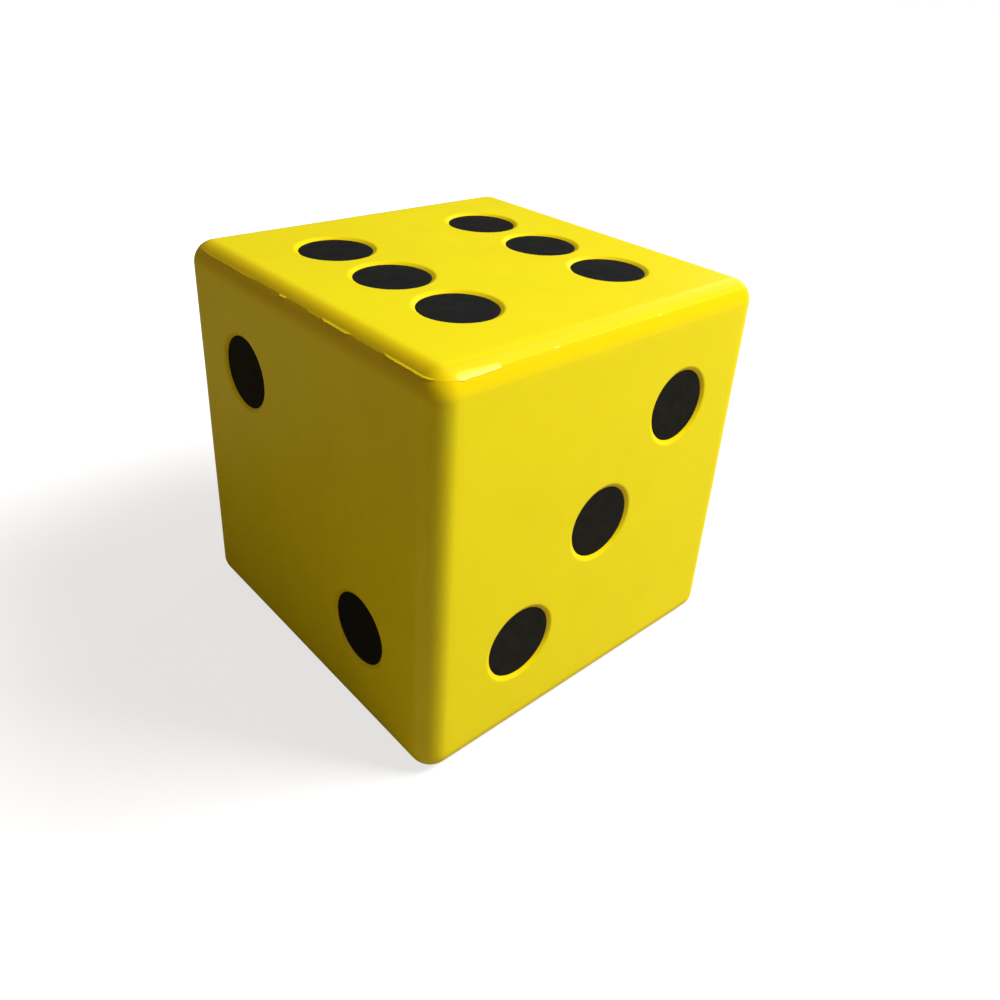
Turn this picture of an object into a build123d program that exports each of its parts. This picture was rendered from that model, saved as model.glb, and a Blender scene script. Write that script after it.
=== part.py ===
"""Giant yard dice, 16 inches along each edge, in polyethylene.

Two mouldings are hot-plate welded into one hollow cube: a body shell with the faces one to five, and a
top shell with the face six. They meet half-way round the top edge radius, where a tongue on the top shell
stands in a groove on the body shell's rim, and a bead of weld flash fills the notch outside. Each of the
21 pips is a black disc spin-welded into a pocket in its face. A push-in vent plug in face one lets the
warm air out when the dice lies in the sun.

Frame: millimetres, +Z up, origin at the centre of the face that the dice rests on.
Faces: one -Z, two -Y, three +X, four -X, five +Y, six +Z. Opposite faces add to seven.
"""

from build123d import *
import math
import os

INCH = 25.4

# Outer cube
EDGE = 16 * INCH
EDGE_RADIUS = 23.5
WALL = 4.5

# Pips and their pockets
PIP_RADIUS = 23 / 16 * INCH
PIP_PITCH = 3.75 * INCH  # from the middle of a face to an outer pip, along each edge
PIP_RECESS = 2.3  # from the face down to the pip's own face
PIP_THICKNESS = 3.0
PIP_EDGE_ROUND = 0.6
PIP_CLEARANCE = 0.2
POCKET_SLOPE = 31.0  # degrees between the face and the bevel that leads down to the pip
POCKET_RIM_ROUND = 5.0
BOSS_FLOOR = 5.0  # material behind a pocket, which the weld ring sinks into

# The ring under each pip that melts into the pocket's floor
WELD_RING_RADIUS = 27.0
WELD_RING_WIDTH = 3.0
WELD_RING_HEIGHT = 2.2
WELD_RING_GAP = 0.15

# Joint between the two shells
SEAM_ANGLE = 45.0  # degrees up the top edge radius
BEAD_RADIUS = 0.8
TONGUE_INSET = 9.4  # from the outside of the cube to the tongue's outer wall
TONGUE_WIDTH = 2.2
TONGUE_HEIGHT = 4.0
GROOVE_GAP = 0.2
RIM_RIB_INSET = 15.0  # from the outside of the cube to the rib's inner wall
RIM_RIB_HEIGHT = 8.0  # of the rib's inner wall
RIM_RIB_ANGLE = 45.0  # degrees that the rib's underside leans out from the wall

# Vent plug in face one
VENT_OFFSET = 130.0  # from the middle of the face, along each edge
VENT_HOLE_RADIUS = 4.0
VENT_SEAT_RADIUS = 7.2
VENT_SEAT_DEPTH = 2.0
PLUG_HEAD_RADIUS = 7.0
PLUG_HEAD_THICKNESS = 1.6
PLUG_STEM_RADIUS = 3.8
PLUG_BARB_RADIUS = 4.6
PLUG_BARB_LENGTH = 2.4
PLUG_TIP_RADIUS = 2.8
PLUG_BREATHER_RADIUS = 0.6
PLUG_SLOT_WIDTH = 1.2
PLUG_SLOT_LENGTH = 3.6

HALF = EDGE / 2
SEAM_INSET = EDGE_RADIUS * (1 - math.cos(math.radians(SEAM_ANGLE)))
SEAM_HEIGHT = EDGE - EDGE_RADIUS * (1 - math.sin(math.radians(SEAM_ANGLE)))
POCKET_RADIUS = PIP_RADIUS + PIP_CLEARANCE
POCKET_DEPTH = PIP_RECESS + PIP_THICKNESS
BOSS_RADIUS = POCKET_RADIUS + WALL
BOSS_DEPTH = POCKET_DEPTH + BOSS_FLOOR
RIM_RIB_SLOPE = RIM_RIB_INSET - WALL  # how far the rib's sloping underside reaches in, and down
OVERCUT = 1.0  # how far a cutter runs past the surface it opens

# Each face's plane: its origin is the middle of the face, and its z points out of the cube.
# Seen from outside with its y up, x runs to the right.
FACES = {
    "one": Plane(origin=(0, 0, 0), x_dir=(1, 0, 0), z_dir=(0, 0, -1)),
    "two": Plane(origin=(0, -HALF, HALF), x_dir=(1, 0, 0), z_dir=(0, -1, 0)),
    "three": Plane(origin=(HALF, 0, HALF), x_dir=(0, 1, 0), z_dir=(1, 0, 0)),
    "four": Plane(origin=(-HALF, 0, HALF), x_dir=(0, -1, 0), z_dir=(-1, 0, 0)),
    "five": Plane(origin=(0, HALF, HALF), x_dir=(-1, 0, 0), z_dir=(0, 1, 0)),
    "six": Plane(origin=(0, 0, EDGE), x_dir=(1, 0, 0), z_dir=(0, 0, 1)),
}

BODY_FACES = ["one", "two", "three", "four", "five"]
TOP_FACES = ["six"]

# Where each face's pips are, in pitches from the middle of the face along the plane's x and y
SPOTS = {
    "one": [(0, 0)],
    "two": [(-1, 1), (1, -1)],
    "three": [(1, 1), (0, 0), (-1, -1)],
    "four": [(-1, 1), (1, 1), (-1, -1), (1, -1)],
    "five": [(-1, 1), (1, 1), (0, 0), (-1, -1), (1, -1)],
    "six": [(-1, 1), (0, 1), (1, 1), (-1, -1), (0, -1), (1, -1)],
}


def at_pip(face, spot):
    """The plane of one pip: its origin is on the face, and its z points out of the cube."""
    return FACES[face] * Pos(spot[0] * PIP_PITCH, spot[1] * PIP_PITCH)


def rounded_cube(inset):
    """The cube with every side moved in by inset, edges and corners rounded to suit."""
    side = EDGE - 2 * inset
    cube = Pos(0, 0, HALF) * Box(side, side, side)
    return fillet(cube.edges(), EDGE_RADIUS - inset)


def rounded_square(inset):
    """The cube's outline seen from above, moved in by inset."""
    return RectangleRounded(EDGE - 2 * inset, EDGE - 2 * inset, EDGE_RADIUS - inset)


def square_tube(inset, width, bottom, top):
    """A wall that follows the outline, from inset to inset + width and from bottom to top."""
    ring = rounded_square(inset) - rounded_square(inset + width)
    return extrude(Pos(0, 0, bottom) * ring, top - bottom)


def on_side(radius, height):
    """A point of an outline that is to be turned about Z."""
    return (radius, 0, height)


def turned(points):
    """A solid turned about Z from an outline of (radius, height) points."""
    outline = [on_side(*point) for point in points]
    return revolve(make_face(Polyline(outline, close=True)), Axis.Z)


def weld_ring(gap):
    """The ring under a pip, or with a gap the groove that it fills. Its top is at height 0."""
    half_width = WELD_RING_WIDTH / 2 + gap
    return turned([
        (WELD_RING_RADIUS - half_width, 0),
        (WELD_RING_RADIUS + half_width, 0),
        (WELD_RING_RADIUS + half_width, -WELD_RING_HEIGHT - gap),
        (WELD_RING_RADIUS - half_width, -WELD_RING_HEIGHT - gap),
    ])


def pocket():
    """What one pip's pocket takes out of a shell: a round hole, the bevel above it and the bevel's soft rim.

    The face is at height 0.
    """
    slope = math.radians(POCKET_SLOPE)
    mouth = POCKET_RADIUS + PIP_RECESS / math.tan(slope)
    tangent = POCKET_RIM_ROUND * math.tan(slope / 2)
    rim_end = mouth + tangent
    bend_width = POCKET_RIM_ROUND * math.sin(slope / 2)
    bend_drop = POCKET_RIM_ROUND * (1 - math.cos(slope / 2))
    rim_top = on_side(rim_end, 0)
    rim_middle = on_side(rim_end - bend_width, -bend_drop)
    rim_foot = on_side(mouth - tangent * math.cos(slope), -tangent * math.sin(slope))
    outline = [
        Polyline(
            rim_top,
            on_side(rim_end, OVERCUT),
            on_side(0, OVERCUT),
            on_side(0, -POCKET_DEPTH),
            on_side(POCKET_RADIUS, -POCKET_DEPTH),
            on_side(POCKET_RADIUS, -PIP_RECESS),
            rim_foot,
        ),
        ThreePointArc(rim_foot, rim_middle, rim_top),
    ]
    groove = Pos(0, 0, -POCKET_DEPTH) * weld_ring(WELD_RING_GAP)
    return revolve(make_face(outline), Axis.Z) + groove


def boss():
    """The thicker wall behind one pocket, which stands into the hollow of the cube."""
    return Cylinder(BOSS_RADIUS, BOSS_DEPTH, align=(Align.CENTER, Align.CENTER, Align.MAX))


def placed_on(shape, faces):
    """A copy of shape at every pip of the named faces."""
    return [at_pip(face, spot) * shape for face in faces for spot in SPOTS[face]]


def hollow(faces):
    """The space inside the cube, with the bosses of the named faces standing into it."""
    return rounded_cube(WALL) - placed_on(boss(), faces)


def seam_bead():
    """The bead of weld flash round the joint, half of it sunk in the notch between the shells."""
    outline = Pos(0, 0, SEAM_HEIGHT) * RectangleRounded(
        EDGE - 2 * SEAM_INSET, EDGE - 2 * SEAM_INSET, EDGE_RADIUS - SEAM_INSET
    )
    path = outline.wire()
    section = Plane(origin=path @ 0, z_dir=path % 0) * Circle(BEAD_RADIUS)
    return sweep(section, path=path)


def half_space(bottom, top):
    """A block that holds everything between two heights."""
    return Pos(0, 0, (bottom + top) / 2) * Box(2 * EDGE, 2 * EDGE, top - bottom)


def rim_rib():
    """The rib inside the body shell's rim that the groove is cut in.

    Its underside slopes out to the wall and meets it just below where the wall begins to turn over.
    """
    bottom = SEAM_HEIGHT - RIM_RIB_HEIGHT
    foot = bottom - RIM_RIB_SLOPE
    block = square_tube(WALL / 2, RIM_RIB_INSET - WALL / 2, bottom, SEAM_HEIGHT)
    wedge = extrude(Pos(0, 0, foot) * rounded_square(WALL / 2), RIM_RIB_SLOPE)
    funnel = extrude(Pos(0, 0, bottom) * rounded_square(RIM_RIB_INSET), -RIM_RIB_SLOPE, taper=-RIM_RIB_ANGLE)
    return block + (wedge - funnel)


def vent_hole():
    """The stepped hole for the vent plug, with the face at height 0."""
    seat = Cylinder(VENT_SEAT_RADIUS, VENT_SEAT_DEPTH + OVERCUT)
    hole = Cylinder(VENT_HOLE_RADIUS, WALL + 2 * OVERCUT)
    return Pos(0, 0, (OVERCUT - VENT_SEAT_DEPTH) / 2) * seat + Pos(0, 0, -WALL / 2) * hole


def at_vent():
    """The vent plug's plane on face one."""
    return FACES["one"] * Pos(-VENT_OFFSET, VENT_OFFSET)


def body_shell(bead):
    """The five-sided moulding below the seam, with the groove for the tongue in its rim."""
    shell = rounded_cube(0) & half_space(-OVERCUT, SEAM_HEIGHT)
    shell -= hollow(BODY_FACES) - rim_rib()
    shell -= placed_on(pocket(), BODY_FACES)
    groove_inset = TONGUE_INSET - GROOVE_GAP
    groove_floor = SEAM_HEIGHT - TONGUE_HEIGHT - GROOVE_GAP
    shell -= square_tube(groove_inset, TONGUE_WIDTH + 2 * GROOVE_GAP, groove_floor, SEAM_HEIGHT)
    return shell - at_vent() * vent_hole() - bead


def top_shell(bead):
    """The face six moulding above the seam, with the tongue under its rim."""
    shell = rounded_cube(0) & half_space(SEAM_HEIGHT, EDGE + OVERCUT)
    shell -= rounded_cube(WALL)
    shell += placed_on(boss(), TOP_FACES)
    shell -= placed_on(pocket(), TOP_FACES)
    shell += square_tube(TONGUE_INSET, TONGUE_WIDTH, SEAM_HEIGHT - TONGUE_HEIGHT, SEAM_HEIGHT)
    return shell - bead


def pip():
    """One black disc with its weld ring below. The face of the cube is at height 0."""
    face = -PIP_RECESS
    back = face - PIP_THICKNESS
    disc = turned([
        (0, back),
        (PIP_RADIUS, back),
        (PIP_RADIUS, face - PIP_EDGE_ROUND),
        (PIP_RADIUS - PIP_EDGE_ROUND, face),
        (0, face),
    ])
    return disc + Pos(0, 0, back) * weld_ring(0)


def vent_plug():
    """The push-in plug: a flat head, a barbed stem split in four, and a fine hole for the air."""
    head_top = PLUG_HEAD_THICKNESS - VENT_SEAT_DEPTH
    barb_start = -WALL - PIP_CLEARANCE
    tip = barb_start - PLUG_BARB_LENGTH
    body = turned([
        (PLUG_BREATHER_RADIUS, head_top),
        (PLUG_HEAD_RADIUS, head_top),
        (PLUG_HEAD_RADIUS, -VENT_SEAT_DEPTH),
        (PLUG_STEM_RADIUS, -VENT_SEAT_DEPTH),
        (PLUG_STEM_RADIUS, barb_start),
        (PLUG_BARB_RADIUS, barb_start),
        (PLUG_TIP_RADIUS, tip),
        (PLUG_BREATHER_RADIUS, tip),
    ])
    slot = Pos(0, 0, tip) * Box(4 * PLUG_STEM_RADIUS, PLUG_SLOT_WIDTH, 2 * PLUG_SLOT_LENGTH)
    return body - slot - Rot(0, 0, 90) * slot


def build():
    """Every piece of the dice by name, in place."""
    bead = seam_bead()
    pieces = {
        "body_shell": body_shell(bead),
        "top_shell": top_shell(bead),
        "seam_weld_bead": bead,
        "vent_plug": at_vent() * vent_plug(),
    }
    disc = pip()
    for face, spots in SPOTS.items():
        for number, spot in enumerate(spots, start=1):
            pieces[f"{face}_pip_{number}"] = at_pip(face, spot) * disc
    return pieces


os.makedirs("parts", exist_ok=True)
for name, piece in build().items():
    export_step(piece, f"parts/{name}.step")
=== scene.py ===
"""Looks for the giant yard dice: two welded yellow polyethylene shells with black pips set in pockets.

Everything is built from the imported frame's own boxes, in metres. The shells are swept and gridded from
the same rounded cube that the frame holds, with pockets, bosses, weld joint and inner walls, and with
the slight waves of a large moulding. The weld flash round the top edge is ragged, as trimmed by hand.
"""

import math
from collections import namedtuple

import bmesh
import bpy
from mathutils import Matrix, Vector, noise


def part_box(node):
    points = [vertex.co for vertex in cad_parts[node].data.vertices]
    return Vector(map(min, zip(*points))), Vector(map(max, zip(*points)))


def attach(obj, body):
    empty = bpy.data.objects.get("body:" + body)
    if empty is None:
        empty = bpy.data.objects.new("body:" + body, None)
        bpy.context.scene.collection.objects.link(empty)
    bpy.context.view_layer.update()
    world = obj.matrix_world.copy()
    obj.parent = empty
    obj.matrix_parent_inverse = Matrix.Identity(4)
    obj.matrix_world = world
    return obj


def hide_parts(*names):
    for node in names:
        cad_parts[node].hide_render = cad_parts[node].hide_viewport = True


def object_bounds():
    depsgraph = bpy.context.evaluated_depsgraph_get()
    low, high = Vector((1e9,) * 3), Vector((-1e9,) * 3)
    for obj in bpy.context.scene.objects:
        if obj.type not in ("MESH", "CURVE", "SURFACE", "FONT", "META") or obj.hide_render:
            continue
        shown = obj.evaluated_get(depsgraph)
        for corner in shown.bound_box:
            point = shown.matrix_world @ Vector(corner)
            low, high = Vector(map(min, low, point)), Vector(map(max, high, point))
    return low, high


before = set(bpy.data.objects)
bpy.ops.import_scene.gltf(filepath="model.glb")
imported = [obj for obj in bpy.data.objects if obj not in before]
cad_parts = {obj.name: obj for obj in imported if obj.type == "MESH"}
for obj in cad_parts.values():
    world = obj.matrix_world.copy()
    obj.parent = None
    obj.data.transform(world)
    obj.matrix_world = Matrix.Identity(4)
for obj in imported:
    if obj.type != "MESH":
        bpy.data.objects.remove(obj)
cad_low, cad_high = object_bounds()

MM = 0.001
QUARTER = math.pi / 2

# The dice as the frame holds it
EDGE = cad_high.x - cad_low.x
HALF = EDGE / 2
SEAM_ANGLE = QUARTER / 2  # how far up the top edge round the shells meet
SEAM_HEIGHT = sum(corner.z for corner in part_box("seam_weld_bead")) / 2
EDGE_RADIUS = (EDGE - SEAM_HEIGHT) / (1 - math.sin(SEAM_ANGLE))
FLAT_HALF = HALF - EDGE_RADIUS
PIP_LOW, PIP_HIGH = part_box("six_pip_3")
PIP_RADIUS = (PIP_HIGH.x - PIP_LOW.x) / 2
PIP_PITCH = (PIP_LOW.x + PIP_HIGH.x) / 2
PIP_RECESS = EDGE - PIP_HIGH.z
VENT_LOW, VENT_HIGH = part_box("vent_plug")
VENT_CENTRE = (VENT_LOW + VENT_HIGH) / 2
PLUG_RADIUS = (VENT_HIGH.x - VENT_LOW.x) / 2

# Walls and joints, as designed in CAD
WALL = 4.5 * MM
PIP_THICKNESS = 3.0 * MM
PIP_EDGE_ROUND = 0.6 * MM
POCKET_RADIUS = PIP_RADIUS + 0.2 * MM
POCKET_SLOPE = math.radians(31)  # between the face and the bevel that leads down to the pip
POCKET_RIM_ROUND = 5.0 * MM
POCKET_DEPTH = PIP_RECESS + PIP_THICKNESS
BOSS_RADIUS = POCKET_RADIUS + WALL
BOSS_DEPTH = POCKET_DEPTH + 5.0 * MM
WELD_RING_INNER = 25.5 * MM
WELD_RING_OUTER = 28.5 * MM
WELD_RING_HEIGHT = 2.2 * MM
WELD_RING_GAP = 0.15 * MM
TONGUE_INSET = 9.4 * MM
TONGUE_WIDTH = 2.2 * MM
TONGUE_HEIGHT = 4.0 * MM
GROOVE_GAP = 0.2 * MM
RIM_RIB_INSET = 15.0 * MM
VENT_SEAT_RADIUS = PLUG_RADIUS + 0.2 * MM
VENT_SEAT_DEPTH = 2.0 * MM
VENT_HOLE_RADIUS = 4.0 * MM

# What moulding and welding leave behind
LONG_WAVE = 110 * MM
LONG_WAVE_DEPTH = 0.34 * MM
SHORT_WAVE = 34 * MM
SHORT_WAVE_DEPTH = 0.07 * MM
PIP_DISH = 0.12 * MM  # how far a pip's middle is sunk by cooling
SEAM_SWELL = 0.12 * MM
SEAM_SWELL_REACH = 5 * MM
FLASH_RISE = 0.5 * MM  # how far above the seam the trimmed flash begins
FLASH_DROP = 0.4 * MM  # how far it hangs below the seam
FLASH_PROUD = 0.08 * MM
FLASH_LIP = 0.3 * MM  # the height of its rounded tip
FLASH_STEP = 0.8 * MM
FLASH_LONG_WAVE = 37 * MM
FLASH_SHORT_WAVE = 5 * MM
FLASH_TEAR_WAVE = 13 * MM
FLASH_ROOT_DEPTH = 0.3 * MM  # how far its upper end, its lower end and its heart run into the shells
FLASH_TIP_DEPTH = 0.1 * MM
FLASH_HEART_DEPTH = 0.5 * MM
DROP_LONG_SHARE = 0.6  # how much the long and the short wave change the drop
DROP_SHORT_SHARE = 0.5
PROUD_LONG_SHARE = 1.1
PROUD_SHORT_SHARE = 0.4
PROUD_MEAN = 0.7
PROUD_LEAST = 0.15

# Places where the trimmer left more flash or less, by side and distance from the side's middle.
# drop is how far it hangs below the seam, and proud how far it stands out. A torn one starts rise
# further up, tapers along its length to an abrupt end, and is paler: whitening from the stretching, with a
# painted highlight laid on it as well.
FlashTag = namedtuple("FlashTag", "side start end drop proud rise torn")
FLASH_TAGS = [
    FlashTag("three", -182 * MM, -137 * MM, 3.4 * MM, 0.7 * MM, 5.0 * MM, True),
    FlashTag("three", -80 * MM, -74 * MM, 0.9 * MM, 0.5 * MM, 0.3 * MM, True),
    FlashTag("three", 50 * MM, 55 * MM, 0.7 * MM, 0.5 * MM, 0.3 * MM, True),
    FlashTag("two", -178 * MM, -66 * MM, 1.3 * MM, 0.3 * MM, 0, False),
    FlashTag("two", -26 * MM, -14 * MM, 1.4 * MM, 0.9 * MM, 0, False),
    FlashTag("two", 20 * MM, 43 * MM, 1.3 * MM, 0.25 * MM, 0, False),
    FlashTag("two", 42 * MM, 86 * MM, 1.5 * MM, 0.9 * MM, 0, False),
    FlashTag("two", 86 * MM, 130 * MM, 1.2 * MM, 0.15 * MM, 0, False),
    FlashTag("two", 129 * MM, 192 * MM, 1.2 * MM, 0.85 * MM, 0, False),
]

TAG_TAKE_OFF = 0.2  # the share of a torn tag's length over which it rises out of the seam
TAG_RISE_TAPER = 0.6  # the share of a torn tag's rise and drop that is lost by its far end
TAG_DROP_TAPER = 0.5
TAG_TEAR_SHARE = 0.6
TAG_END_STEEPNESS = 2.5  # of a tag that isn't torn
TAG_WAVE_SHARE = 0.2

# How pale a torn tag is at the points across it, from its root round its tip: stretch whitening and painted
# highlight
SECTION_WHITE_AND_HIGHLIGHT = (0, 0, 0.55, 1, 1, 1, 1, 1, 1)

# The size of the flash at one place. whitened, its stretch whitening and painted highlight, runs from 0 to
# 1.
FlashSize = namedtuple("FlashSize", "rise drop proud whitened")

# How finely the meshes are cut
CELL_STEPS = 20  # along each side of a face's nine cells
ROUND_STEPS = 16  # along each stretch of an edge round
RIM_STEPS = 6  # round a pocket's rim
RING_SHARES = (0, 0.2, 0.4, 0.58, 0.73, 0.85, 0.94)  # from a cell's square outline to its round hole
PIP_STEPS = 96  # round a pip
PIP_EDGE_STEPS = 4  # round a pip's rounded edge
DISH_SHARES = (0, 0.25, 0.5, 0.75, 0.9, 1)  # from a pip's middle to the end of its flat
WELD_DISTANCE = 0.001 * MM
SHARP_ANGLE = math.radians(32)

# Each face's middle, the directions along which its pips are counted, and the direction out of it
FACES = {
    "one": (Vector((0, 0, 0)), Vector((1, 0, 0)), Vector((0, -1, 0)), Vector((0, 0, -1))),
    "two": (Vector((0, -HALF, HALF)), Vector((1, 0, 0)), Vector((0, 0, 1)), Vector((0, -1, 0))),
    "three": (Vector((HALF, 0, HALF)), Vector((0, 1, 0)), Vector((0, 0, 1)), Vector((1, 0, 0))),
    "four": (Vector((-HALF, 0, HALF)), Vector((0, -1, 0)), Vector((0, 0, 1)), Vector((-1, 0, 0))),
    "five": (Vector((0, HALF, HALF)), Vector((-1, 0, 0)), Vector((0, 0, 1)), Vector((0, 1, 0))),
    "six": (Vector((0, 0, EDGE)), Vector((1, 0, 0)), Vector((0, 1, 0)), Vector((0, 0, 1))),
}

# Which of a face's nine cells hold a pip, by column and row from -1 to 1
SPOTS = {
    "one": [(0, 0)],
    "two": [(-1, 1), (1, -1)],
    "three": [(1, 1), (0, 0), (-1, -1)],
    "four": [(-1, 1), (1, 1), (-1, -1), (1, -1)],
    "five": [(-1, 1), (1, 1), (0, 0), (-1, -1), (1, -1)],
    "six": [(-1, 1), (0, 1), (1, 1), (-1, -1), (0, -1), (1, -1)],
}
VENT_CELL = (-1, 1)  # the cell of face one that the vent plug is in
BODY_FACES = ("one", "two", "three", "four", "five")

# Colours, in linear light
SHELL_YELLOW = (0.885, 0.762, 0.0055, 1)
SHELL_PALE = (0.93, 0.80, 0.02, 1)
# Painted shade: a deeper, darker yellow laid in a band along the seam of the top edge round
SEAM_SHADE_YELLOW = (0.85, 0.595, 0.0005, 1)
# Painted shade: a deeper yellow down the bevels of the pips' pockets, dulling their lit side
POCKET_SHADE_YELLOW = (0.87, 0.66, 0.001, 1)
FLASH_YELLOW = (0.88, 0.68, 0.003, 1)
FLASH_PALE = (0.93, 0.78, 0.03, 1)
# Stretch whitening and painted highlight: the pale yellow of torn flash, made paler to stand for the light
# it catches
FLASH_WHITE_AND_HIGHLIGHT = (0.97, 0.89, 0.17, 1)
PIP_BLACK = (0.0148, 0.0158, 0.0160, 1)
PLUG_BLACK = (0.03, 0.03, 0.03, 1)
SEAM_SHADE_LOW = SEAM_HEIGHT - 16 * MM  # the height at which the painted shade below the seam begins to show
SEAM_SHADE_HIGH = SEAM_HEIGHT - 1 * MM
SEAM_SHADE_WANDER = 4 * MM
SEAM_SHADE_TOP = EDGE - 1.5 * MM  # where it begins to fade out above the seam
SEAM_SHADE_SHARE_ABOVE = 0.84  # how strongly the painted shade shows just above the seam
# the height over which the painted shade along the seam steps down just above it
SEAM_SHADE_STEP = 0.2 * MM

# Surface finish. Scales are in waves to the metre.
MOTTLE_SCALE = 14
SPECKLE_SCALE = 900
SPECKLE_SHARE = 0.12
SHEEN_SCALE = 30
PEEL_SCALE = 260
PEEL_HEIGHT = 0.06 * MM
GRAIN_SCALE = 1500
GRAIN_HEIGHT = 0.02 * MM
SCUFF_SCALE = 700
SCUFF_STRETCH = 0.03  # the noise's scale along a scuff, as a share of that across it
SCUFF_START = 0.72  # the noise above which a scuff shows
SCUFF_HEIGHT = 0.02 * MM
SCUFF_TURN = (0.4, 0.9, 0.6)
SHELL_ROUGHNESS = 0.36
FLASH_ROUGHNESS = 0.45
SHELL_GLOSS = 0.4
PIP_MOTTLE_SCALE = 60
PIP_SHEEN_SCALE = 120
PIP_GRAIN_SCALE = 1800
PIP_GRAIN_HEIGHT = 0.03 * MM
PIP_SCUFF_SCALE = 900
PIP_SCUFF_STRETCH = 0.04
PIP_SCUFF_START = 0.7
PIP_ROUGHNESS = 0.62
PLUG_ROUGHNESS = 0.55
BLACK_GLOSS = 0.03
SEAM_SHADE_SCALE = 40

# The camera
CAMERA_OFFSET = Vector((1.556, -1.352, 1.145)) * EDGE  # from the middle of the dice
CAMERA_AZIMUTH = math.radians(46.37)
CAMERA_ELEVATION = math.radians(27.53)
CAMERA_ROLL = math.radians(3.79)
CAMERA_LENS = 31.49
CAMERA_SHIFT_Y = -0.0835

# The stage
FLOOR_RADIUS = 30.0
FLOOR_STEPS = 128
FLOOR_GAP = 0.1 * MM
FLOOR_GLOW = 0.72  # the share of the floor's white by the dice that no shadow takes away
FLOOR_GLOW_START = 0.45  # how far from the middle of the dice the glow begins to rise to full white
FLOOR_GLOW_END = 1.2
FLOOR_WHITE = 0.36
FLOOR_BOUNCE = (0.375, 0.30, 0.125)  # what the floor gives back to the dice
ROOM_COLOUR = (1, 0.85, 0.6)
ROOM_STRENGTH = 0.1
WHITE = (1, 1, 1)
FILL_COLOUR = (1, 0.8, 0.55)

# A round hole or boss in one cell of a face. profile is a list of (radius, depth).
Hole = namedtuple("Hole", "centre profile closed")


# ---------------------------------------------------------------- mesh helpers


class Soup:
    """Points and faces on their way to becoming one mesh. Points that meet are welded at the end."""

    def __init__(self):
        self.points = []
        self.faces = []

    def row(self, points):
        """Adds points and returns their numbers."""
        first = len(self.points)
        self.points.extend(points)
        return list(range(first, len(self.points)))

    def strip(self, row_a, row_b, closed=False):
        """Quads between two rows of the same length."""
        count = len(row_a)
        for i in range(count if closed else count - 1):
            j = (i + 1) % count
            self.faces.append((row_a[i], row_a[j], row_b[j], row_b[i]))

    def sheet(self, rows, closed=False):
        """Quads between each row of points and the next. Returns the rows' numbers."""
        numbered = [self.row(points) for points in rows]
        for row_a, row_b in zip(numbered, numbered[1:]):
            self.strip(row_a, row_b, closed)
        return numbered

    def fan(self, ring, centre):
        """Triangles from a closed ring to one point."""
        middle = self.row([centre])[0]
        for i, corner in enumerate(ring):
            self.faces.append((corner, ring[(i + 1) % len(ring)], middle))

    def build(self, name, material, **point_values):
        """The finished object: welded, facing outwards and smooth.

        Each of point_values is a list of one number per point, which the material can read by its name.
        """
        mesh = bpy.data.meshes.new(name)
        mesh.from_pydata([tuple(point) for point in self.points], [], self.faces)
        for key, values in point_values.items():
            mesh.attributes.new(key, "FLOAT", "POINT").data.foreach_set("value", values)
        editable = bmesh.new()
        editable.from_mesh(mesh)
        bmesh.ops.remove_doubles(editable, verts=editable.verts, dist=WELD_DISTANCE)
        bmesh.ops.recalc_face_normals(editable, faces=editable.faces)
        editable.to_mesh(mesh)
        editable.free()
        mesh.shade_smooth()
        mesh.materials.append(material)
        thing = bpy.data.objects.new(name, mesh)
        bpy.context.scene.collection.objects.link(thing)
        return thing


def spread(start, end, steps):
    """Evenly spaced values from start to end."""
    return [start + (end - start) * i / steps for i in range(steps + 1)]


def lathe(soup, profile, place, steps):
    """Turns an outline of (radius, depth), which starts and ends on the axis."""
    angles = spread(0, 4 * QUARTER, steps)[:-1]
    rings = []
    for radius, depth in profile[1:-1]:
        rings.append([place(radius * math.cos(a), radius * math.sin(a), depth) for a in angles])
    numbered = soup.sheet(rings, closed=True)
    soup.fan(numbered[0], place(0, 0, profile[0][1]))
    soup.fan(numbered[-1], place(0, 0, profile[-1][1]))


# ---------------------------------------------------------------- the dice's own form


def arc(centre_height, radius, start, end, steps):
    """(inset, height) points round an edge. Angle 0 is level with the dice's side, 90 degrees is up."""
    return [
        (EDGE_RADIUS - radius * math.cos(angle), centre_height + radius * math.sin(angle))
        for angle in spread(start, end, steps)
    ]


def cell_edges():
    """Where a face's nine cells begin and end, from its middle."""
    return [-FLAT_HALF, -PIP_PITCH / 2, PIP_PITCH / 2, FLAT_HALF]


def side_stations():
    """Distances along the flat part of a side, from its middle, that every mesh is cut at."""
    edges = cell_edges()
    stations = []
    for low, high in zip(edges, edges[1:]):
        stations.extend(spread(low, high, CELL_STEPS)[:-1])
    return stations + [edges[-1]]


def quarter_turns():
    """The four turns about the dice's upright axis."""
    return [Matrix.Rotation(quarter * QUARTER, 3, "Z") for quarter in range(4)]


def belt_columns():
    """(point on the inner square, outward direction) all the way round, anticlockwise from above."""
    belt = []
    corner = Vector((FLAT_HALF, -FLAT_HALF, 0))
    for turn in quarter_turns():
        for along in side_stations():
            belt.append((turn @ Vector((along, -FLAT_HALF, 0)), turn @ Vector((0, -1, 0))))
        for angle in spread(0, QUARTER, ROUND_STEPS)[1:-1]:
            belt.append((turn @ corner, turn @ Vector((math.sin(angle), -math.cos(angle), 0))))
    return belt


def sweep_profile(soup, profile):
    """Sweeps an outline of (inset, height) points all round the dice."""
    belt = belt_columns()
    rings = []
    for inset, height in profile:
        lift = Vector((0, 0, height))
        rings.append([point + outward * (EDGE_RADIUS - inset) + lift for point, outward in belt])
    soup.sheet(rings, closed=True)


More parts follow.
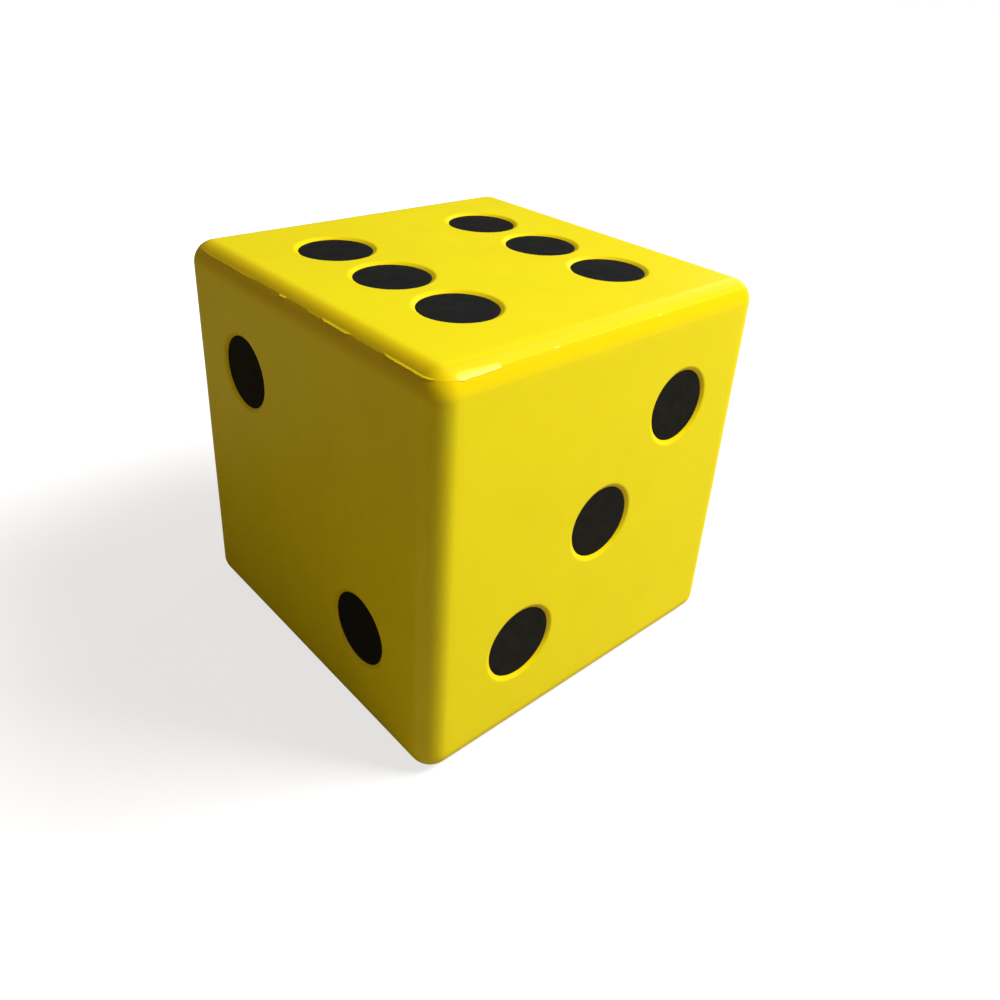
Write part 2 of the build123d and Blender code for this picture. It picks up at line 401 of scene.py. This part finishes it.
def upright_rounds(soup, inset):
    """The four upright rounded edges, between the top round and the bottom one."""
    radius = EDGE_RADIUS - inset
    for turn in quarter_turns():
        rows = []
        for along in side_stations():
            corner = Vector((FLAT_HALF, -FLAT_HALF, HALF + along))
            rows.append([
                turn @ (corner + Vector((radius * math.sin(angle), -radius * math.cos(angle), 0)))
                for angle in spread(0, QUARTER, ROUND_STEPS)
            ])
        soup.sheet(rows)


def cell_outline(low_x, high_x, low_y, high_y):
    """The points round a cell's edge, anticlockwise, starting at its low corner."""
    xs = spread(low_x, high_x, CELL_STEPS)
    ys = spread(low_y, high_y, CELL_STEPS)
    bottom = [(x, low_y) for x in xs[:-1]]
    right = [(high_x, y) for y in ys[:-1]]
    top = [(x, high_y) for x in reversed(xs[1:])]
    left = [(low_x, y) for y in reversed(ys[1:])]
    return bottom + right + top + left


def ring_angles(outline, centre):
    """An angle for each point of a cell's outline, evenly spaced between its four corners."""
    corners = []
    for side in range(4):
        x, y = outline[side * CELL_STEPS]
        angle = math.atan2(y - centre[1], x - centre[0])
        while corners and angle < corners[-1]:
            angle += 4 * QUARTER
        corners.append(angle)
    corners.append(corners[0] + 4 * QUARTER)
    angles = []
    for start, end in zip(corners, corners[1:]):
        angles.extend(spread(start, end, CELL_STEPS)[:-1])
    return angles


def fill_cell(soup, place, outline, hole):
    """Fills a cell with rings that turn from its square outline to a round pocket, boss or hole.

    place(x, y, depth) gives a point of the face.
    """
    angles = ring_angles(outline, hole.centre)
    centre_x, centre_y = hole.centre
    hole_radius = hole.profile[0][0]

    def round_point(radius, angle):
        return centre_x + radius * math.cos(angle), centre_y + radius * math.sin(angle)

    rings = []
    for share in RING_SHARES:
        ring = []
        for (x, y), angle in zip(outline, angles):
            round_x, round_y = round_point(hole_radius, angle)
            ring.append(place(x + (round_x - x) * share, y + (round_y - y) * share, 0))
        rings.append(ring)
    for radius, depth in hole.profile:
        rings.append([place(*round_point(radius, angle), depth) for angle in angles])
    numbered = soup.sheet(rings, closed=True)
    if hole.closed:
        soup.fan(numbered[-1], place(centre_x, centre_y, hole.profile[-1][1]))


def flat_face(soup, face, inset, holes):
    """One face's flat part, moved in by inset, with a hole in each cell that holes names."""
    middle, across, up, out = FACES[face]

    def place(x, y, depth):
        return middle + across * x + up * y - out * (inset + depth)

    edges = cell_edges()
    for row in range(3):
        for column in range(3):
            x_range = edges[column], edges[column + 1]
            y_range = edges[row], edges[row + 1]
            hole = holes.get((column - 1, row - 1))
            if hole:
                fill_cell(soup, place, cell_outline(*x_range, *y_range), hole)
                continue
            xs = spread(*x_range, CELL_STEPS)
            soup.sheet([[place(x, y, 0) for x in xs] for y in spread(*y_range, CELL_STEPS)])


def pocket_profile():
    """A pip's pocket, from its soft rim down the bevel to the groove in its floor, as (radius, depth)."""
    mouth = POCKET_RADIUS + PIP_RECESS / math.tan(POCKET_SLOPE)
    reach = mouth + POCKET_RIM_ROUND * math.tan(POCKET_SLOPE / 2)
    rim = [
        (reach - POCKET_RIM_ROUND * math.sin(angle), POCKET_RIM_ROUND * (1 - math.cos(angle)))
        for angle in spread(0, POCKET_SLOPE, RIM_STEPS)
    ]
    groove_floor = POCKET_DEPTH + WELD_RING_HEIGHT + WELD_RING_GAP
    return rim + [
        (POCKET_RADIUS, PIP_RECESS),
        (POCKET_RADIUS, POCKET_DEPTH),
        (WELD_RING_OUTER + WELD_RING_GAP, POCKET_DEPTH),
        (WELD_RING_OUTER + WELD_RING_GAP, groove_floor),
        (WELD_RING_INNER - WELD_RING_GAP, groove_floor),
        (WELD_RING_INNER - WELD_RING_GAP, POCKET_DEPTH),
        (WELD_RING_INNER / 2, POCKET_DEPTH),
    ]


def boss_profile():
    """The back of a pocket, standing into the hollow, as (radius, depth) from the inner wall."""
    drop = BOSS_DEPTH - WALL
    return [
        (BOSS_RADIUS, 0),
        (BOSS_RADIUS, drop / 2),
        (BOSS_RADIUS, drop),
        (BOSS_RADIUS * 2 / 3, drop),
        (BOSS_RADIUS / 3, drop),
    ]


def pip_holes(face, profile):
    """The same hole at every pip of a face."""
    return {spot: Hole((spot[0] * PIP_PITCH, spot[1] * PIP_PITCH), profile, True) for spot in SPOTS[face]}


def pocket_share(point, faces):
    """0 on a flat face, rising to 1 half-way down the bevel of a pip's pocket."""
    for face in faces:
        middle, across, up, out = FACES[face]
        offset = point - middle
        depth = -offset.dot(out)
        if not WELD_DISTANCE < depth < POCKET_DEPTH + WELD_DISTANCE:
            continue
        for column, row in SPOTS[face]:
            x = offset.dot(across) - column * PIP_PITCH
            y = offset.dot(up) - row * PIP_PITCH
            if math.hypot(x, y) < BOSS_RADIUS + POCKET_RIM_ROUND:
                return min(1, 2 * depth / PIP_RECESS)
    return 0


def mark_pockets(thing, faces):
    """Tells a shell's material where to paint shade: how far down a pip pocket's bevel each point lies."""
    values = [pocket_share(vertex.co, faces) for vertex in thing.data.vertices]
    thing.data.attributes.new("pip_pocket_shade", "FLOAT", "POINT").data.foreach_set("value", values)


def vent_holes():
    """The stepped hole for the vent plug, as it cuts the outer skin and the inner skin of face one."""
    centre = (VENT_CENTRE.x, -VENT_CENTRE.y)
    outer = [
        (VENT_SEAT_RADIUS, 0),
        (VENT_SEAT_RADIUS, VENT_SEAT_DEPTH),
        (VENT_HOLE_RADIUS, VENT_SEAT_DEPTH),
        (VENT_HOLE_RADIUS, WALL),
    ]
    inner = [(VENT_HOLE_RADIUS, 0)]
    return {VENT_CELL: Hole(centre, outer, False)}, {VENT_CELL: Hole(centre, inner, False)}


# ---------------------------------------------------------------- the waves of a moulding


def outward_of(point):
    """The direction out of the dice at a point of its shell, and the point of its skin there."""
    middle = Vector((0, 0, HALF))
    core = Vector([min(FLAT_HALF, max(-FLAT_HALF, value)) for value in point - middle])
    outward = (point - middle - core).normalized()
    return outward, middle + core + outward * EDGE_RADIUS


def noise_share(point):
    """Smooth noise that is mostly between 0 and 1."""
    return 0.5 + 0.5 * noise.noise(point)


def rippled(point):
    """A point of the dice moved in by the long shallow waves that cooling leaves in a large moulding.

    All that lies behind a point of the skin moves with it. Face one, which it rests on, stays flat.
    """
    outward, skin = outward_of(point)
    long_wave = LONG_WAVE_DEPTH * noise_share(skin / LONG_WAVE)
    short_wave = SHORT_WAVE_DEPTH * noise_share(skin / SHORT_WAVE)
    return point - outward * (long_wave + short_wave) * min(1, skin.z / EDGE_RADIUS)


def finish_piece(thing, slot, *nodes):
    """Gives a piece the moulding's waves and puts it on the dice's one body, in place of its CAD nodes."""
    for vertex in thing.data.vertices:
        vertex.co = rippled(vertex.co)
    thing.data.set_sharp_from_angle(angle=SHARP_ANGLE)
    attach(thing, "root")
    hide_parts(*nodes)
    return thing


# ---------------------------------------------------------------- shells


def swell_at(angle):
    """How far the weld has swollen the edge round at one angle."""
    away = abs(angle - SEAM_ANGLE) * EDGE_RADIUS
    return SEAM_SWELL * max(0, 1 - away / SEAM_SWELL_REACH) ** 2


def round_point(angle, proud=0):
    """A point of the swollen top edge round as (inset, height)."""
    reach = EDGE_RADIUS + swell_at(angle) + proud
    return EDGE_RADIUS - reach * math.cos(angle), EDGE - EDGE_RADIUS + reach * math.sin(angle)


def body_shell(material):
    """The five-sided moulding below the seam, with its rim rib, groove and inner wall."""
    soup = Soup()
    inner_radius = EDGE_RADIUS - WALL
    top = EDGE - EDGE_RADIUS
    groove_floor = SEAM_HEIGHT - TONGUE_HEIGHT - GROOVE_GAP
    groove_end = TONGUE_INSET + TONGUE_WIDTH + GROOVE_GAP
    outside = [round_point(angle) for angle in spread(0, SEAM_ANGLE, ROUND_STEPS)]
    rim = [
        (TONGUE_INSET - GROOVE_GAP, SEAM_HEIGHT),
        (TONGUE_INSET - GROOVE_GAP, groove_floor),
        (groove_end, groove_floor),
        (groove_end, SEAM_HEIGHT),
        (RIM_RIB_INSET, SEAM_HEIGHT),
        (RIM_RIB_INSET, top + RIM_RIB_INSET - WALL),
        (WALL, top),
    ]
    sweep_profile(soup, arc(EDGE_RADIUS, EDGE_RADIUS, -QUARTER, 0, ROUND_STEPS))
    sweep_profile(soup, outside + rim)
    sweep_profile(soup, arc(EDGE_RADIUS, inner_radius, -QUARTER, 0, ROUND_STEPS))
    upright_rounds(soup, 0)
    upright_rounds(soup, WALL)
    vent_outside, vent_inside = vent_holes()
    for face in BODY_FACES:
        pockets = pip_holes(face, pocket_profile())
        bosses = pip_holes(face, boss_profile())
        if face == "one":
            pockets.update(vent_outside)
            bosses.update(vent_inside)
        flat_face(soup, face, 0, pockets)
        flat_face(soup, face, WALL, bosses)
    thing = soup.build("body_shell_moulding", material)
    mark_pockets(thing, BODY_FACES)
    return finish_piece(thing, "yellow_shell", "body_shell")


def top_shell(material):
    """The moulding above the seam, with its tongue, pockets and bosses."""
    soup = Soup()
    inner_radius = EDGE_RADIUS - WALL
    inner_start = math.asin((SEAM_HEIGHT - EDGE + EDGE_RADIUS) / inner_radius)
    tongue_foot = SEAM_HEIGHT - TONGUE_HEIGHT
    outside = [round_point(angle) for angle in spread(QUARTER, SEAM_ANGLE, ROUND_STEPS)]
    rim = [
        (TONGUE_INSET, SEAM_HEIGHT),
        (TONGUE_INSET, tongue_foot),
        (TONGUE_INSET + TONGUE_WIDTH, tongue_foot),
        (TONGUE_INSET + TONGUE_WIDTH, SEAM_HEIGHT),
    ]
    inside = arc(EDGE - EDGE_RADIUS, inner_radius, inner_start, QUARTER, ROUND_STEPS)
    sweep_profile(soup, outside + rim + inside)
    flat_face(soup, "six", 0, pip_holes("six", pocket_profile()))
    flat_face(soup, "six", WALL, pip_holes("six", boss_profile()))
    thing = soup.build("top_shell_moulding", material)
    mark_pockets(thing, ("six",))
    return finish_piece(thing, "yellow_shell", "top_shell")


# ---------------------------------------------------------------- weld flash


def flash_size(side, along, distance):
    """The weld flash's size at one place round the dice."""
    slow = noise.noise(Vector((distance / FLASH_LONG_WAVE, 0, 0)))
    quick = noise.noise(Vector((distance / FLASH_SHORT_WAVE, 9, 0)))
    tear = noise.noise(Vector((distance / FLASH_TEAR_WAVE, 5, 0)))
    rise = FLASH_RISE
    drop = FLASH_DROP * (1 + DROP_LONG_SHARE * slow + DROP_SHORT_SHARE * quick)
    stands = PROUD_MEAN + PROUD_LONG_SHARE * slow + PROUD_SHORT_SHARE * quick
    proud = FLASH_PROUD * max(PROUD_LEAST, stands)
    whitened = 0
    for tag in FLASH_TAGS:
        if tag.side != side or not tag.start <= along <= tag.end:
            continue
        share = (along - tag.start) / (tag.end - tag.start)
        if tag.torn:
            lift = math.sin(QUARTER * min(1, share / TAG_TAKE_OFF))
            rise += tag.rise * lift * (1 - TAG_RISE_TAPER * share)
            drop += tag.drop * lift * (1 - TAG_DROP_TAPER * share) * (1 + TAG_TEAR_SHARE * tear)
            whitened = lift
        else:
            lift = min(1, TAG_END_STEEPNESS * math.sin(2 * QUARTER * share))
            drop += tag.drop * lift * (1 + TAG_WAVE_SHARE * quick)
        proud = max(proud, tag.proud * lift)
    return FlashSize(rise, drop, proud, whitened)


def flash_columns():
    """(side, distance from its middle, point on the inner square, outward direction) round the seam."""
    columns = []
    corner = Vector((FLAT_HALF, -FLAT_HALF, 0))
    corner_reach = EDGE_RADIUS * math.cos(SEAM_ANGLE)
    side_steps = round(2 * FLAT_HALF / FLASH_STEP)
    corner_steps = round(corner_reach * QUARTER / FLASH_STEP)
    for side, turn in zip(("two", "three", "five", "four"), quarter_turns()):
        for along in spread(-FLAT_HALF, FLAT_HALF, side_steps):
            point = turn @ Vector((along, -FLAT_HALF, 0))
            columns.append((side, along, point, turn @ Vector((0, -1, 0))))
        for angle in spread(0, QUARTER, corner_steps)[1:-1]:
            outward = turn @ Vector((math.sin(angle), -math.cos(angle), 0))
            columns.append((side, FLAT_HALF + corner_reach * angle, turn @ corner, outward))
    return columns


def flash_section(size):
    """The outline of the flash at one place, as (inset, height), from its root round its tip."""
    root = SEAM_ANGLE + size.rise / EDGE_RADIUS
    tip = SEAM_ANGLE - size.drop / EDGE_RADIUS
    lip = FLASH_LIP / EDGE_RADIUS
    return [
        round_point(root, -FLASH_ROOT_DEPTH),
        round_point(root, 0),
        round_point((root + tip) / 2, size.proud * 0.4),
        round_point(tip + 2 * lip, size.proud * 0.65),
        round_point(tip + lip, size.proud),
        round_point(tip, size.proud * 0.9),
        round_point(tip - lip, size.proud * 0.3),
        round_point(tip - lip, -FLASH_TIP_DEPTH),
        round_point(SEAM_ANGLE, -FLASH_HEART_DEPTH),
    ]


def weld_flash(material):
    """The ragged bead of flash that stands along the seam and hangs a little over the body shell."""
    soup = Soup()
    rings = []
    whitened = []
    for number, (side, along, point, outward) in enumerate(flash_columns()):
        size = flash_size(side, along, number * FLASH_STEP)
        section = flash_section(size)
        rings.append([
            point + outward * (EDGE_RADIUS - inset) + Vector((0, 0, height)) for inset, height in section
        ])
        whitened.extend(size.whitened * share for share in SECTION_WHITE_AND_HIGHLIGHT)
    numbered = [soup.row(ring) for ring in rings]
    for ring_a, ring_b in zip(numbered, numbered[1:] + numbered[:1]):
        soup.strip(ring_a, ring_b, closed=True)
    thing = soup.build("seam_weld_flash", material, whitened=whitened)
    return finish_piece(thing, "yellow_flash", "seam_weld_bead")


# ---------------------------------------------------------------- pips


def pip_profile():
    """A pip and its weld ring as (radius, depth), with a rounded edge and a dished middle."""
    face = []
    flat_radius = PIP_RADIUS - PIP_EDGE_ROUND
    for share in DISH_SHARES:
        face.append((flat_radius * share, PIP_RECESS + PIP_DISH * (1 - share**2)))
    for angle in spread(0, QUARTER, PIP_EDGE_STEPS)[1:]:
        face.append((
            flat_radius + PIP_EDGE_ROUND * math.sin(angle),
            PIP_RECESS + PIP_EDGE_ROUND * (1 - math.cos(angle)),
        ))
    return face + [
        (PIP_RADIUS, POCKET_DEPTH),
        (WELD_RING_OUTER, POCKET_DEPTH),
        (WELD_RING_OUTER, POCKET_DEPTH + WELD_RING_HEIGHT),
        (WELD_RING_INNER, POCKET_DEPTH + WELD_RING_HEIGHT),
        (WELD_RING_INNER, POCKET_DEPTH),
        (0, POCKET_DEPTH),
    ]


def pip(face, number, spot, material):
    """One black disc, turned about the middle of its pocket."""
    middle, across, up, out = FACES[face]
    centre = middle + across * spot[0] * PIP_PITCH + up * spot[1] * PIP_PITCH

    def place(x, y, depth):
        return centre + across * x + up * y - out * depth

    soup = Soup()
    lathe(soup, pip_profile(), place, PIP_STEPS)
    thing = soup.build(f"{face}_pip_disc_{number}", material)
    return finish_piece(thing, "black_pip", f"{face}_pip_{number}")


# ---------------------------------------------------------------- materials


class Nodes:
    """A short way to wire one material."""

    def __init__(self, name):
        self.material = bpy.data.materials.new(name)
        self.material.use_nodes = True
        self.tree = self.material.node_tree
        self.shader = self.tree.nodes["Principled BSDF"]

    def add(self, kind, **settings):
        """A node with its settings and its unlinked inputs given by name."""
        node = self.tree.nodes.new(kind)
        for key, value in settings.items():
            if hasattr(node, key):
                setattr(node, key, value)
            else:
                node.inputs[key.replace("_", " ")].default_value = value
        return node

    def link(self, source, target):
        """Wires an output socket to an input socket."""
        self.tree.links.new(source, target)

    def place(self):
        """Where a point is in the dice's own frame, in metres."""
        return self.add("ShaderNodeTexCoord").outputs["Object"]

    def noise(self, scale, detail=3.0, roughness=0.5):
        """Noise that lies still in the dice's own frame. scale is in waves to the metre."""
        node = self.add("ShaderNodeTexNoise", Scale=scale, Detail=detail, Roughness=roughness)
        self.link(self.place(), node.inputs["Vector"])
        return node.outputs["Fac"]

    def ramp(self, source, low, high, low_value, high_value):
        """source stretched so that low gives low_value and high gives high_value."""
        node = self.add("ShaderNodeMapRange")
        node.inputs["From Min"].default_value = low
        node.inputs["From Max"].default_value = high
        node.inputs["To Min"].default_value = low_value
        node.inputs["To Max"].default_value = high_value
        self.link(source, node.inputs["Value"])
        return node.outputs["Result"]

    def times(self, first, second):
        """The product of two sockets."""
        node = self.add("ShaderNodeMath", operation="MULTIPLY")
        self.link(first, node.inputs[0])
        self.link(second, node.inputs[1])
        return node.outputs["Value"]

    def mix_colour(self, factor, first, second):
        """A colour between two, each a tuple or a socket."""
        node = self.add("ShaderNodeMix", data_type="RGBA")
        self.link(factor, node.inputs["Factor"])
        for socket, colour in ((node.inputs[6], first), (node.inputs[7], second)):
            if isinstance(colour, tuple):
                socket.default_value = colour
            else:
                self.link(colour, socket)
        return node.outputs[2]

    def bump(self, height, distance, strength, before=None):
        """A bump from a height socket, on top of another bump if one is given."""
        node = self.add("ShaderNodeBump", Strength=strength, Distance=distance)
        self.link(height, node.inputs["Height"])
        if before:
            self.link(before, node.inputs["Normal"])
        return node.outputs["Normal"]


def scratches(nodes, scale, stretch, start):
    """Fine short scratches that run mostly one way: 1 in a scratch and 0 elsewhere."""
    mapping = nodes.add("ShaderNodeMapping")
    mapping.inputs["Rotation"].default_value = SCUFF_TURN
    mapping.inputs["Scale"].default_value = (stretch, 1, 1)
    nodes.link(nodes.place(), mapping.inputs["Vector"])
    texture = nodes.add("ShaderNodeTexNoise", Scale=scale, Detail=2.0, Roughness=0.6)
    nodes.link(mapping.outputs["Vector"], texture.inputs["Vector"])
    return nodes.ramp(texture.outputs["Fac"], start, start + 0.03, 0, 1)


def pigment(nodes, colour, pale):
    """Yellow with a slight mottle and fine paler specks, as pigment lies in moulded polyethylene."""
    mottle = nodes.ramp(nodes.noise(MOTTLE_SCALE, 4), 0.35, 0.65, 0, 1)
    speckle = nodes.ramp(nodes.noise(SPECKLE_SCALE, 2), 0.3, 0.7, 0, SPECKLE_SHARE)
    body = nodes.mix_colour(mottle, colour, tuple(0.97 * c for c in colour[:3]) + (1,))
    return nodes.mix_colour(speckle, body, pale)


def moulded_finish(nodes, body, roughness):
    """The surface of smooth moulded polyethylene: uneven sheen, orange peel, and a few fine scuffs."""
    nodes.link(body, nodes.shader.inputs["Base Color"])
    sheen_noise = nodes.noise(SHEEN_SCALE, 5, 0.6)
    nodes.link(
        nodes.ramp(sheen_noise, 0.3, 0.7, roughness - 0.04, roughness + 0.05),
        nodes.shader.inputs["Roughness"],
    )
    peel = nodes.bump(nodes.noise(PEEL_SCALE, 2), PEEL_HEIGHT, 0.5)
    grain = nodes.bump(nodes.noise(GRAIN_SCALE, 2), GRAIN_HEIGHT, 0.4, peel)
    scuff = scratches(nodes, SCUFF_SCALE, SCUFF_STRETCH, SCUFF_START)
    scuffs = nodes.bump(scuff, SCUFF_HEIGHT, 0.35, grain)
    nodes.link(scuffs, nodes.shader.inputs["Normal"])
    nodes.shader.inputs["IOR"].default_value = 1.5
    nodes.shader.inputs["Specular IOR Level"].default_value = SHELL_GLOSS
    return nodes.material


def shell_plastic():
    """The shells' yellow, with painted shade: a deeper, darker yellow along the seam and down the bevels of
    the pips' pockets.
    """
    nodes = Nodes("yellow_shell")
    body = pigment(nodes, SHELL_YELLOW, SHELL_PALE)
    place = nodes.add("ShaderNodeSeparateXYZ")
    nodes.link(nodes.place(), place.inputs["Vector"])
    uneven = nodes.add("ShaderNodeMath", operation="MULTIPLY_ADD")
    nodes.link(nodes.noise(SEAM_SHADE_SCALE, 3), uneven.inputs[0])
    uneven.inputs[1].default_value = SEAM_SHADE_WANDER
    nodes.link(place.outputs["Z"], uneven.inputs[2])
    # Painted shade in a band below the seam, stepping down just above it and fading out towards the top
    # face
    below = nodes.ramp(uneven.outputs["Value"], SEAM_SHADE_LOW, SEAM_SHADE_HIGH, 0, 1)
    across = nodes.ramp(place.outputs["Z"], SEAM_HEIGHT, SEAM_HEIGHT + SEAM_SHADE_STEP, 1, SEAM_SHADE_SHARE_ABOVE)
    above = nodes.ramp(place.outputs["Z"], SEAM_SHADE_TOP, EDGE, 1, 0)
    seam_shade = nodes.times(nodes.times(below, across), above)
    body = nodes.mix_colour(seam_shade, body, SEAM_SHADE_YELLOW)
    # Painted shade down the bevels of the pips' pockets
    pip_pocket_shade = nodes.add("ShaderNodeAttribute", attribute_name="pip_pocket_shade")
    body = nodes.mix_colour(pip_pocket_shade.outputs["Fac"], body, POCKET_SHADE_YELLOW)
    return moulded_finish(nodes, body, SHELL_ROUGHNESS)


def flash_plastic():
    """The flash's yellow, paler where trimming has torn and stretched it, with a painted highlight laid
    there too.
    """
    nodes = Nodes("yellow_flash")
    body = pigment(nodes, FLASH_YELLOW, FLASH_PALE)
    # Stretch whitening and painted highlight on the torn tags
    white_and_highlight_share = nodes.add("ShaderNodeAttribute", attribute_name="whitened")
    body = nodes.mix_colour(white_and_highlight_share.outputs["Fac"], body, FLASH_WHITE_AND_HIGHLIGHT)
    return moulded_finish(nodes, body, FLASH_ROUGHNESS)


def black_plastic(name, colour, roughness):
    """Satin black with a fine even grain."""
    nodes = Nodes(name)
    mottle = nodes.ramp(nodes.noise(PIP_MOTTLE_SCALE, 4), 0.3, 0.7, 0, 1)
    dark = tuple(0.75 * c for c in colour[:3]) + (1,)
    nodes.link(nodes.mix_colour(mottle, colour, dark), nodes.shader.inputs["Base Color"])
    nodes.link(
        nodes.ramp(nodes.noise(PIP_SHEEN_SCALE, 4, 0.6), 0.3, 0.7, roughness - 0.05, roughness + 0.06),
        nodes.shader.inputs["Roughness"],
    )
    grain = nodes.bump(nodes.noise(PIP_GRAIN_SCALE, 3), PIP_GRAIN_HEIGHT, 0.6)
    scuff = scratches(nodes, PIP_SCUFF_SCALE, PIP_SCUFF_STRETCH, PIP_SCUFF_START)
    scuffs = nodes.bump(scuff, SCUFF_HEIGHT, 0.3, grain)
    nodes.link(scuffs, nodes.shader.inputs["Normal"])
    nodes.shader.inputs["Specular IOR Level"].default_value = BLACK_GLOSS
    return nodes.material


# ---------------------------------------------------------------- stage, lights and camera


def seen_or_not(tree, seen, unseen):
    """1 for what the camera sees directly, 0 for light on its way round, as a mix of two shaders."""
    path = tree.nodes.new("ShaderNodeLightPath")
    mix = tree.nodes.new("ShaderNodeMixShader")
    tree.links.new(path.outputs["Is Camera Ray"], mix.inputs["Fac"])
    tree.links.new(unseen, mix.inputs[1])
    tree.links.new(seen, mix.inputs[2])
    return mix.outputs["Shader"]


def floor_material():
    """A white floor that glows a little, so that shadows on it stay pale. It reflects as warm boards do."""
    nodes = Nodes("pale_floor")
    away = nodes.add("ShaderNodeVectorMath", operation="LENGTH")
    nodes.link(nodes.place(), away.inputs[0])
    glow = nodes.add("ShaderNodeEmission", Color=(1, 1, 1, 1))
    rising = nodes.ramp(away.outputs["Value"], FLOOR_GLOW_START, FLOOR_GLOW_END, FLOOR_GLOW, 1)
    nodes.link(rising, glow.inputs["Strength"])
    white = nodes.add("ShaderNodeBsdfDiffuse", Color=(FLOOR_WHITE, FLOOR_WHITE, FLOOR_WHITE, 1))
    seen = nodes.tree.nodes.new("ShaderNodeAddShader")
    nodes.link(glow.outputs["Emission"], seen.inputs[0])
    nodes.link(white.outputs["BSDF"], seen.inputs[1])
    boards = nodes.add("ShaderNodeBsdfDiffuse", Color=(*FLOOR_BOUNCE, 1))
    shown = seen_or_not(nodes.tree, seen.outputs["Shader"], boards.outputs["BSDF"])
    nodes.link(shown, nodes.tree.nodes["Material Output"].inputs["Surface"])
    nodes.tree.nodes.remove(nodes.shader)
    return nodes.material


def make_floor():
    """A large round floor just under the face that the dice rests on."""
    soup = Soup()
    rim = []
    for angle in spread(0, 4 * QUARTER, FLOOR_STEPS)[:-1]:
        rim.append(Vector((FLOOR_RADIUS * math.cos(angle), FLOOR_RADIUS * math.sin(angle), -FLOOR_GAP)))
    soup.fan(soup.row(rim), Vector((0, 0, -FLOOR_GAP)))
    floor = soup.build("floor", floor_material())


def direction(azimuth, elevation):
    """The way out from the dice, by angles in radians. Azimuth 0 is in front of face two."""
    level = math.cos(elevation)
    return Vector((math.sin(azimuth) * level, -math.cos(azimuth) * level, math.sin(elevation)))


def area_light(name, azimuth, elevation, distance, size, power, colour):
    """A soft square lamp aimed at the middle of the dice, by angles in degrees."""
    lamp = bpy.data.lights.new(name, "AREA")
    lamp.shape = "SQUARE"
    lamp.size = size
    lamp.energy = power
    lamp.color = colour
    thing = bpy.data.objects.new(name, lamp)
    bpy.context.scene.collection.objects.link(thing)
    back = direction(math.radians(azimuth), math.radians(elevation))
    thing.location = Vector((0, 0, HALF)) + back * distance
    thing.rotation_mode = "QUATERNION"
    thing.rotation_quaternion = (-back).to_track_quat("-Z", "Y")
    return thing


def make_world():
    """A white room for the camera, and a dim warm one for the light that reaches the dice."""
    world = bpy.data.worlds.new("studio")
    world.use_nodes = True
    tree = world.node_tree
    dim = tree.nodes["Background"]
    dim.inputs["Color"].default_value = (*ROOM_COLOUR, 1)
    dim.inputs["Strength"].default_value = ROOM_STRENGTH
    white = tree.nodes.new("ShaderNodeBackground")
    white.inputs["Color"].default_value = (1, 1, 1, 1)
    shown = seen_or_not(tree, white.outputs["Background"], dim.outputs["Background"])
    tree.links.new(shown, tree.nodes["World Output"].inputs["Surface"])
    bpy.context.scene.world = world


def make_lights():
    """A broad key from behind on the right, and a weak warm fill on the left.

    Neither has a reflection of its own. Two weak lamps give the plastic its sheen. After its name, each
    lamp's azimuth and elevation are given in degrees.
    """
    key = area_light("key", 139, 44.3, distance=4.5, size=2.2, power=322, colour=WHITE)
    key.visible_glossy = False
    area_light("sheen", 192, 24, distance=3.5, size=1.6, power=9, colour=WHITE)
    above = area_light("sheen_above", 165, 62, distance=3, size=2.1, power=9, colour=WHITE)
    above.visible_diffuse = False
    fill = area_light("fill", -32, 16, distance=3, size=2, power=8, colour=FILL_COLOUR)
    fill.visible_glossy = False


def make_camera():
    """The camera, rolled a little, with its lens raised above the middle of the picture."""
    back = direction(CAMERA_AZIMUTH, CAMERA_ELEVATION)
    right = Vector((0, 0, 1)).cross(back).normalized()
    up = back.cross(right)
    rolled_right = right * math.cos(CAMERA_ROLL) + up * math.sin(CAMERA_ROLL)
    rolled_up = up * math.cos(CAMERA_ROLL) - right * math.sin(CAMERA_ROLL)
    lens = bpy.data.cameras.new("camera")
    lens.lens = CAMERA_LENS
    lens.shift_y = CAMERA_SHIFT_Y
    camera = bpy.data.objects.new("camera", lens)
    bpy.context.scene.collection.objects.link(camera)
    turn = Matrix((rolled_right, rolled_up, back)).transposed().to_4x4()
    camera.matrix_world = Matrix.Translation(Vector((0, 0, HALF)) + CAMERA_OFFSET) @ turn
    bpy.context.scene.camera = camera


# ---------------------------------------------------------------- the scene


def make_dice():
    """Every piece of the dice."""
    yellow = shell_plastic()
    black = black_plastic("black_pip", PIP_BLACK, PIP_ROUGHNESS)
    body_shell(yellow)
    top_shell(yellow)
    weld_flash(flash_plastic())
    for face, spots in SPOTS.items():
        for number, spot in enumerate(spots, start=1):
            pip(face, number, spot, black)
    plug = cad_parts["vent_plug"]
    plug.data.materials.clear()
    plug.data.materials.append(black_plastic("vent_plug", PLUG_BLACK, PLUG_ROUGHNESS))


make_dice()
make_floor()
make_world()
make_lights()
make_camera()
bpy.context.scene.view_settings.view_transform = "Standard"
